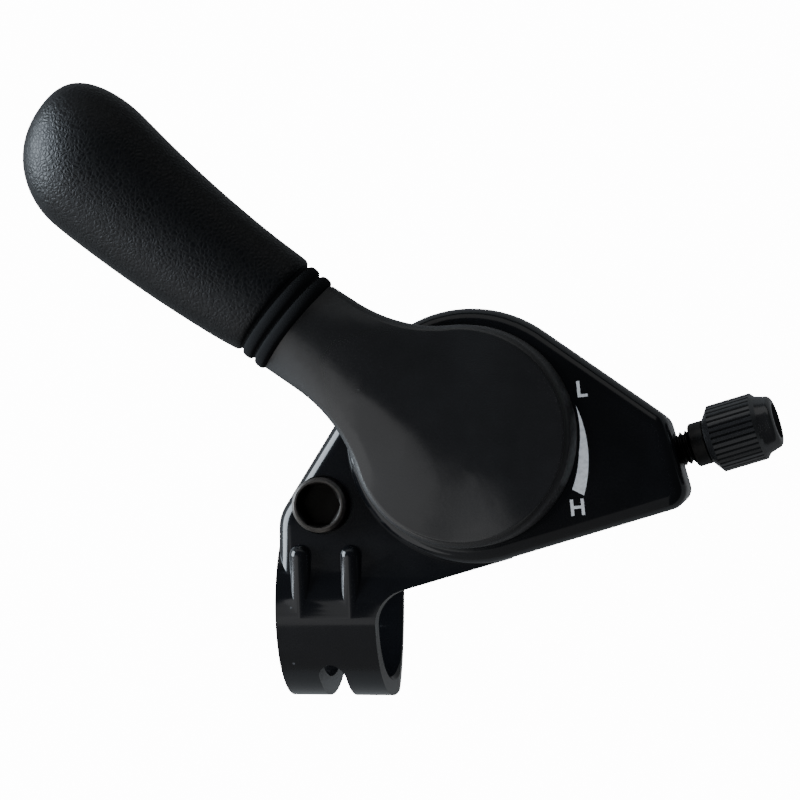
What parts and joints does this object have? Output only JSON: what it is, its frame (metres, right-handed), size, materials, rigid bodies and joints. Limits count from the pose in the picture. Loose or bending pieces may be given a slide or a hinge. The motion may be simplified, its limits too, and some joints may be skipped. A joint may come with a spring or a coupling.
{
  "type": "bicycle gear shifter",
  "caption": "Handlebar thumb shifter: round glossy hub with a pivoting thumb lever and rubber grip, a split bar clamp with ribs, and a snout with a knurled cable adjuster.",
  "frame": {"origin": "centre of the handlebar clamp's bore, in the middle of its width", "axes": "+X along the handlebar towards the cable adjuster, +Y away from the bar towards the lever's hub, +Z along the lever's pivot towards the face that the rider sees"},
  "size_m": [0.1111, 0.0906, 0.0422],
  "materials": {
    "housing": "gloss",
    "lever": "semi-gloss",
    "grip_sleeve": "leather grain",
    "clamp_bolt": "blackened",
    "clamp_washer": "zinc",
    "clamp_nut": "zinc",
    "adjuster_screw": "black anodised",
    "adjuster_barrel": "semi-gloss",
    "cable_drum": "satin",
    "stop_pin": "satin",
    "pivot_bush": "satin",
    "thrust_washer": "satin",
    "friction_washer": "matte",
    "keyed_washer": "satin",
    "disc_spring": "satin",
    "threaded_insert": "satin",
    "pivot_screw": "satin"
  },
  "bodies": {
    "housing": {"housing": "housing", "clamp_bolt": "clamp_bolt", "clamp_washer": "clamp_washer", "clamp_nut": "clamp_nut", "stop_pin": "stop_pin", "pivot_bush": "pivot_bush", "thrust_washer": "thrust_washer", "friction_washer": "friction_washer"},
    "lever": {"lever": "lever", "grip_sleeve": "grip_sleeve", "cable_drum": "cable_drum", "threaded_insert": "threaded_insert", "keyed_washer": "keyed_washer", "disc_spring": "disc_spring", "pivot_screw": "pivot_screw"},
    "adjuster": {"adjuster_screw": "adjuster_screw", "adjuster_barrel": "adjuster_barrel"}
  },
  "joints": [
    {"name": "lever_swing", "type": "hinge", "parent": "housing", "child": "lever", "pos_m": [0.0219, 0.0247, 0], "axis": [0, 0, 1], "range_deg": [0, 62]},
    {"name": "adjuster_turn", "type": "hinge", "parent": "housing", "child": "adjuster", "pos_m": [0.05221, 0.02278, 0.0095], "axis": [0.9583, 0.2857, 0], "continuous": true}
  ]
}
